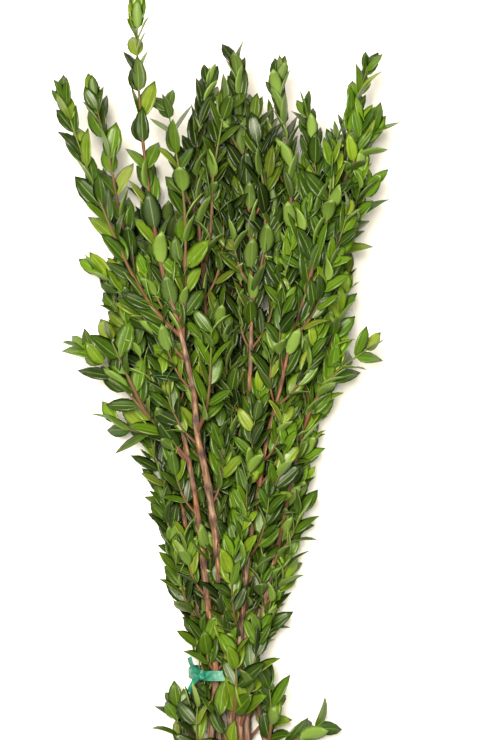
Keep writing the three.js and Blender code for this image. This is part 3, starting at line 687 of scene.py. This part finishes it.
def leaves_tree(blades):
    """Sets a pair of blades on every leaf node: out from the stem, risen towards its tip, turned a
    little to the light, and lifted where they would reach into the table."""
    tree, given = group_tree("opposite_leaves", {
        "Rise": "NodeSocketFloat", "Seed": "NodeSocketInt", "Table softness": "NodeSocketFloat",
        "Leaf": "NodeSocketMaterial",
    })
    shapes = add(tree, "GeometryNodeCollectionInfo", {
        "Collection": blades, "Separate Children": True, "Reset Children": True,
    }).outputs[0]
    marks = {}
    for label in ("growing", "turn", "length", "young", "spread", "facing"):
        kind = "FLOAT_VECTOR" if label == "growing" else "FLOAT"
        mark = add(tree, "GeometryNodeInputNamedAttribute", {"Name": label}, data_type=kind)
        marks[label] = mark.outputs[0]
    stem = add(tree, "FunctionNodeAxesToRotation", {
        0: marks["growing"], 1: UP,
    }, primary_axis="Z", secondary_axis="Y").outputs[0]
    closing = add(tree, "ShaderNodeMapRange", {0: marks["young"], 3: 1.0, 4: CLOSED_RISE}).outputs[0]
    wide = add(tree, "ShaderNodeMath", {0: given["Rise"], 1: closing}, operation="MULTIPLY").outputs[0]
    wide = add(tree, "ShaderNodeMath", {0: marks["spread"], 1: wide}, operation="MULTIPLY").outputs[0]
    pairs = add(tree, "GeometryNodeJoinGeometry")
    for side in (0, 1):
        seed = add(tree, "ShaderNodeMath", {0: given["Seed"], 1: 10 * side}).outputs[0]
        drawn = {}  # the second leaf of a pair wanders about the far side of the stem
        for i, (label, (low, high)) in enumerate(CHANCES.items()):
            own_seed = add(tree, "ShaderNodeMath", {0: seed, 1: i}).outputs[0]
            opposite = math.pi * side if label == "wander" else 0
            chance = add(tree, "FunctionNodeRandomValue", {
                2: opposite + low, 3: opposite + high, "Seed": own_seed,
            })
            drawn[label] = chance.outputs[1]

        turn = add(tree, "ShaderNodeMath", {0: marks["turn"], 1: drawn["wander"]}).outputs[0]
        lean = add(tree, "ShaderNodeMath", {0: wide, 1: drawn["lean"]}, operation="MULTIPLY").outputs[0]
        leaning = rotated(tree, rotated(tree, stem, "Z", turn), "X", lean)
        along = add(tree, "FunctionNodeRotateVector", {0: (0, 0, 1), 1: leaning}).outputs[0]
        inner = add(tree, "FunctionNodeRotateVector", {0: (0, -1, 0), 1: leaning}).outputs[0]
        light = add(tree, "ShaderNodeMath", {
            0: marks["facing"], 1: drawn["light"],
        }, operation="MULTIPLY").outputs[0]
        to_light = add(tree, "ShaderNodeCombineXYZ", {"X": drawn["glance"], "Z": light}).outputs[0]
        facing = add(tree, "ShaderNodeVectorMath", {0: inner, 1: to_light}).outputs[0]
        placed = add(tree, "FunctionNodeAxesToRotation", {
            0: along, 1: facing,
        }, primary_axis="Y", secondary_axis="Z").outputs[0]

        length = add(tree, "ShaderNodeMath", {
            0: marks["length"], 1: drawn["size"],
        }, operation="MULTIPLY").outputs[0]
        width = add(tree, "ShaderNodeMath", {
            0: length, 1: drawn["width"],
        }, operation="MULTIPLY").outputs[0]
        size = add(tree, "ShaderNodeCombineXYZ", {"X": width, "Y": length, "Z": length}).outputs[0]
        half = add(tree, "GeometryNodeInstanceOnPoints", {
            "Points": given["Geometry"], "Instance": shapes, "Pick Instance": True,
            "Rotation": placed, "Scale": size,
        }).outputs[0]
        shaded = add(tree, "GeometryNodeStoreNamedAttribute", {
            "Geometry": half, "Name": "shade", "Value": drawn["shade"],
        }, data_type="FLOAT", domain="INSTANCE").outputs[0]
        tree.links.new(shaded, pairs.inputs[0])
    leaves = add(tree, "GeometryNodeRealizeInstances", {"Geometry": pairs.outputs[0]}).outputs[0]

    softness = given["Table softness"]
    place = add(tree, "GeometryNodeInputPosition").outputs[0]
    height = add(tree, "ShaderNodeSeparateXYZ", {0: place}).outputs["Z"]
    depth = add(tree, "ShaderNodeMath", {0: height, 1: softness}, operation="DIVIDE").outputs[0]
    drop = add(tree, "ShaderNodeMath", {0: depth, 1: 1.0}, operation="SUBTRACT").outputs[0]
    pressed = add(tree, "ShaderNodeMath", {0: drop}, operation="EXPONENT").outputs[0]
    pressed = add(tree, "ShaderNodeMath", {0: pressed, 1: softness}, operation="MULTIPLY").outputs[0]
    is_low = add(tree, "FunctionNodeCompare", {0: height, 1: softness}, operation="LESS_THAN").outputs[0]
    settled = add(tree, "GeometryNodeSwitch", {
        0: is_low, 1: height, 2: pressed,
    }, input_type="FLOAT").outputs[0]
    change = add(tree, "ShaderNodeMath", {0: settled, 1: height}, operation="SUBTRACT").outputs[0]
    offset = add(tree, "ShaderNodeCombineXYZ", {"Z": change}).outputs[0]
    leaves = add(tree, "GeometryNodeSetPosition", {"Geometry": leaves, "Offset": offset}).outputs[0]
    leaves = add(tree, "GeometryNodeSetMaterial", {
        "Geometry": leaves, "Material": given["Leaf"],
    }).outputs[0]
    add(tree, "NodeGroupOutput", {"Geometry": leaves})
    return tree


def leaf_material():
    """A myrtle leaf: thick, waxy and glossy above, so that it catches pale highlights, and duller and paler
    below. A pale midrib about a millimetre wide runs up it, with fine side veins. Leaves differ from bluish
    to yellowish green, carry painted shade that darkens them deep in the bunch, and are yellow-green at
    fresh tips."""
    material = bpy.data.materials.new("myrtle_leaf")
    material.use_nodes = True
    tree = material.node_tree
    tree.nodes.clear()
    place = add(tree, "ShaderNodeTexCoord").outputs["Object"]
    blade_place = add(tree, "ShaderNodeUVMap", uv_map="blade").outputs[0]
    up_and_across = add(tree, "ShaderNodeSeparateXYZ", {0: blade_place}).outputs
    mottle = add(tree, "ShaderNodeTexNoise", {"Vector": place, "Scale": 160, "Detail": 3}).outputs["Fac"]
    marks = {}
    for label in ("tone", "shade", "young", "under"):
        marks[label] = add(tree, "ShaderNodeAttribute", attribute_name=label).outputs["Fac"]

    mature = add(tree, "ShaderNodeValToRGB", {"Fac": marks["shade"]}, stops=(
        (0.0, "#142c10"), (0.06, "#182b02"), (0.5, "#314d05"), (0.8, "#4d6d0b"), (0.93, "#627a15"),
        (1.0, "#76872a"),
    )).outputs[0]
    fresh = add(tree, "ShaderNodeValToRGB", {"Fac": marks["shade"]}, stops=(
        (0.0, "#4a720c"), (0.6, "#5f8010"), (1.0, "#758c16"),
    )).outputs[0]
    colour = add(tree, "ShaderNodeMix", {
        0: marks["young"], 6: mature, 7: fresh,
    }, data_type="RGBA").outputs[2]
    mottled = add(tree, "ShaderNodeMapRange", {0: mottle, 1: 0.3, 2: 0.7, 3: 0.86, 4: 1.12}).outputs[0]
    # the tone attribute holds each branch's tone and the painted shade that darkens leaves deep in the bunch
    tone = add(tree, "ShaderNodeMath", {0: mottled, 1: marks["tone"]}, operation="MULTIPLY").outputs[0]
    colour = add(tree, "ShaderNodeVectorMath", {0: colour, "Scale": tone}, operation="SCALE").outputs[0]

    centred = add(tree, "ShaderNodeMath", {0: up_and_across["X"], 1: 0.5}, operation="SUBTRACT").outputs[0]
    from_rib = add(tree, "ShaderNodeMath", {0: centred}, operation="ABSOLUTE").outputs[0]
    rib = add(tree, "ShaderNodeMapRange", {0: from_rib, 1: 0.012, 2: 0.035, 3: 1.0, 4: 0.0}).outputs[0]
    slant = add(tree, "ShaderNodeMath", {
        0: from_rib, 1: -1.1, 2: up_and_across["Y"],
    }, operation="MULTIPLY_ADD").outputs[0]
    veins = add(tree, "ShaderNodeMath", {0: slant, 1: 75.0}, operation="MULTIPLY").outputs[0]
    veins = add(tree, "ShaderNodeMath", {0: veins}, operation="SINE").outputs[0]
    veins = add(tree, "ShaderNodeMapRange", {0: veins, 1: 0.75, 2: 1.0, 3: 0.0, 4: 0.07}).outputs[0]
    lines = add(tree, "ShaderNodeMath", {0: rib, 1: 0.4, 2: veins}, operation="MULTIPLY_ADD").outputs[0]
    colour = add(tree, "ShaderNodeMix", {
        0: lines, 6: colour, 7: linear("#8aa850"),
    }, data_type="RGBA").outputs[2]
    pale = add(tree, "ShaderNodeMapRange", {0: marks["shade"], 3: 0.1, 4: 0.9}).outputs[0]
    below = add(tree, "ShaderNodeMath", {0: marks["under"], 1: pale}, operation="MULTIPLY").outputs[0]
    colour = add(tree, "ShaderNodeMix", {
        0: below, 6: colour, 7: linear("#6f8b3c"),
    }, data_type="RGBA").outputs[2]

    relief = add(tree, "ShaderNodeMath", {0: lines, 1: mottle}, operation="ADD").outputs[0]
    bump = add(tree, "ShaderNodeBump", {"Height": relief, "Strength": 0.35, "Distance": 0.5 * MM})
    roughness = add(tree, "ShaderNodeMapRange", {0: marks["under"], 3: 0.4, 4: 0.5}).outputs[0]
    surface = add(tree, "ShaderNodeBsdfPrincipled", {
        "Base Color": colour, "Roughness": roughness, "Normal": bump.outputs[0], "IOR": 1.45,
    })
    add(tree, "ShaderNodeOutputMaterial", {"Surface": surface.outputs[0]})
    return material


blades = bpy.data.collections.new("blades")
for name, shape in BLADE_SHAPES.items():
    blades.objects.link(blade(name, *shape))
leaf = leaf_material()
opposite_leaves = leaves_tree(blades)
for name, limbs in growth.items():
    branch = BRANCHES[name]
    nodes = leaf_nodes(
        limbs, branch["internode"] * MM, branch["tone"], name in EDGE_ON_BRANCHES,
        random.Random(branch["seed"]),
    )
    leaf_settings = {
        "Rise": LEAF_RISE, "Seed": branch["seed"], "Table softness": TABLE_SOFTNESS, "Leaf": leaf,
    }
    grown_piece(name.replace("branch", "leaves"), nodes, opposite_leaves, leaf_settings, name)

# ---- The tie -------------------------------------------------------------------------------------
# The bunch is held by one length of thin green plastic tape, wound round once and knotted at its
# upper left, with two short free ends.
TAPE_WIDTH = 10 * MM
TAPE_STEPS = 96
TAPE_WANDER = 0.8 * MM  # of its middle, along the bunch
TAPE_LEAN = 0.06
MEAN_WIDTH = 0.94  # of the flat tape's width, since it is crumpled
TAPE_CRIMP = 0.06  # more and less than that
KNOT_PLACE = tie_middle + Vector((-22, 0, 49.5)) * MM
KNOT_RADII = (3.6, 4.6, 3.2)  # millimetres
FREE_END = ((-23, 0, 49.5), (-31, 8, 48.5), (-35, 19, 45))  # millimetres, out from the knot
END_FACES = Vector((-0.75, 0, 0.66))
END_WIDTH = 0.4  # of the tape's width, where it is gathered in the knot
END_WIDENING = 0.25


def tape_material():
    """Soft polyethylene tape: bluish green, a little shiny, with fine ribs along it and creases."""
    material = bpy.data.materials.new("polyethylene_tape")
    material.use_nodes = True
    tree = material.node_tree
    tree.nodes.clear()
    place = add(tree, "ShaderNodeTexCoord").outputs["Object"]
    ribs = add(tree, "ShaderNodeTexWave", {
        "Vector": place, "Scale": 320, "Distortion": 1.5,
    }, bands_direction="Y").outputs["Fac"]
    creases = add(tree, "ShaderNodeTexNoise", {"Vector": place, "Scale": 260, "Detail": 3}).outputs["Fac"]
    colour = add(tree, "ShaderNodeValToRGB", {"Fac": creases}, stops=(
        (0.3, "#0a5040"), (0.5, "#116c56"), (0.7, "#1f8a6e"),
    )).outputs[0]
    relief = add(tree, "ShaderNodeMath", {0: ribs, 1: creases}).outputs[0]
    bump = add(tree, "ShaderNodeBump", {"Height": relief, "Strength": 0.3, "Distance": 0.4 * MM})
    surface = add(tree, "ShaderNodeBsdfPrincipled", {
        "Base Color": colour, "Roughness": 0.38, "Normal": bump.outputs[0], "IOR": 1.5,
    })
    add(tree, "ShaderNodeOutputMaterial", {"Surface": surface.outputs[0]})
    return material


def lay_tape(body, centres, across, outward, is_loop):
    """A flat closed strip of tape along its centres. Each across is a vector from one edge of the tape
    to the other, and each outward is the way that its face looks."""
    rings = []
    for centre, width, out in zip(centres, across, outward):
        half = width / 2
        lift = out * TIE_THICKNESS / 2
        corners = (half + lift, lift - half, -half - lift, half - lift)
        rings.append([body.verts.new(centre + corner) for corner in corners])
    following = rings[1:] + rings[:1] if is_loop else rings[1:]
    for ring, after in zip(rings, following):
        for a, b in ((0, 1), (1, 2), (2, 3), (3, 0)):
            body.faces.new((ring[a], ring[b], after[b], after[a]))
    if not is_loop:
        body.faces.new(rings[0])
        body.faces.new(list(reversed(rings[-1])))


def lay_loop(body):
    """The loop round the stems. Sines of several whole turns crumple it, differently all round."""
    centres, across, outward = [], [], []
    for i in range(TAPE_STEPS):
        turn = 2 * math.pi * i / TAPE_STEPS
        cos, sin = math.cos(turn), math.sin(turn)
        out = Vector((cos * TIE_HALF_HEIGHT, 0, sin * TIE_HALF_WIDTH)).normalized()
        crumple = math.sin(turn * 5 + 1) * 0.5 + math.sin(turn * 11) * 0.3
        inner = Vector((TIE_HALF_WIDTH * cos, TAPE_WANDER * crumple, TIE_HEIGHT + TIE_HALF_HEIGHT * sin))
        centres.append(tie_middle + inner + out * TIE_THICKNESS / 2)
        lean = Vector((TAPE_LEAN * crumple, 1, 0)).normalized()
        across.append(lean * TAPE_WIDTH * (MEAN_WIDTH + TAPE_CRIMP * math.cos(turn * 7)))
        outward.append(out)
    lay_tape(body, centres, across, outward, is_loop=True)


def lay_free_end(body, mirror):
    """A short end of tape that widens out of the knot. Mirror is 1 towards the tips and -1 away."""
    route = smooth_route([tie_middle + Vector((x, y * mirror, z)) * MM for x, y, z in FREE_END])
    across, outward = [], []
    for i in range(len(route)):
        tangent = tangent_at(route, i)
        share = END_WIDTH + END_WIDENING * i / len(route)
        across.append(tangent.cross(END_FACES).normalized() * TAPE_WIDTH * share)
        outward.append(across[-1].cross(tangent).normalized())
    lay_tape(body, route, across, outward, is_loop=False)


def tie_knot(body):
    """A lumpy pebble of gathered tape."""
    for vert in bmesh.ops.create_uvsphere(body, u_segments=16, v_segments=10, radius=1)["verts"]:
        lump = 1 + 0.12 * math.sin(vert.co.x * 5 + vert.co.z * 7) + 0.1 * math.sin(vert.co.y * 9)
        vert.co = KNOT_PLACE + Vector([c * r for c, r in zip(vert.co, KNOT_RADII)]) * lump * MM


tape_body = bmesh.new()
lay_loop(tape_body)
lay_free_end(tape_body, 1)
lay_free_end(tape_body, -1)
tie_knot(tape_body)
bmesh.ops.recalc_face_normals(tape_body, faces=tape_body.faces)
tape_mesh = bpy.data.meshes.new("tape")
tape_body.to_mesh(tape_mesh)
tape_body.free()
tape_mesh.materials.append(tape_material())
tape = bpy.data.objects.new("tape", tape_mesh)
bpy.context.collection.objects.link(tape)
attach(tape, "root")
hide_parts("tie_tape")

# ---- The table and the light ---------------------------------------------------------------------
# A plain near-white table top, lit by a large soft light from the upper left and a weak fill.
TABLE_REACH = 12
LIT_PLACE = Vector((0, 0, 0.05))
ROOM_LIGHT = 0.05
table_mesh = bpy.data.meshes.new("table_top")
table_mesh.from_pydata([
    (-TABLE_REACH, -TABLE_REACH, 0), (TABLE_REACH, -TABLE_REACH, 0),
    (TABLE_REACH, TABLE_REACH, 0), (-TABLE_REACH, TABLE_REACH, 0),
], [], [(0, 1, 2, 3)])
table_top = bpy.data.objects.new("table_top", table_mesh)
table_material = bpy.data.materials.new("white_paper")
table_material.use_nodes = True
paper = table_material.node_tree.nodes["Principled BSDF"]
paper.inputs["Base Color"].default_value = linear("#faf9f6")
paper.inputs["Roughness"].default_value = 0.9
table_mesh.materials.append(table_material)
bpy.context.collection.objects.link(table_top)


def soft_light(name, place, power, size):
    data = bpy.data.lights.new(name, "AREA")
    data.color = linear("#fff6e6")[:3]
    data.energy = power
    data.size = size
    light = bpy.data.objects.new(name, data)
    light.location = place
    light.rotation_euler = (LIT_PLACE - Vector(place)).to_track_quat("-Z", "Y").to_euler()
    bpy.context.collection.objects.link(light)


soft_light("window", (-0.3, 0.36, 2.4), 136, 0.85)
soft_light("fill", (0.6, -0.3, 2.4), 24, 1.4)
bpy.context.scene.view_settings.view_transform = "Standard"
world = bpy.data.worlds.new("room")
world.use_nodes = True
world.node_tree.nodes["Background"].inputs["Color"].default_value = (1, 1, 1, 1)
world.node_tree.nodes["Background"].inputs["Strength"].default_value = ROOM_LIGHT
bpy.context.scene.world = world
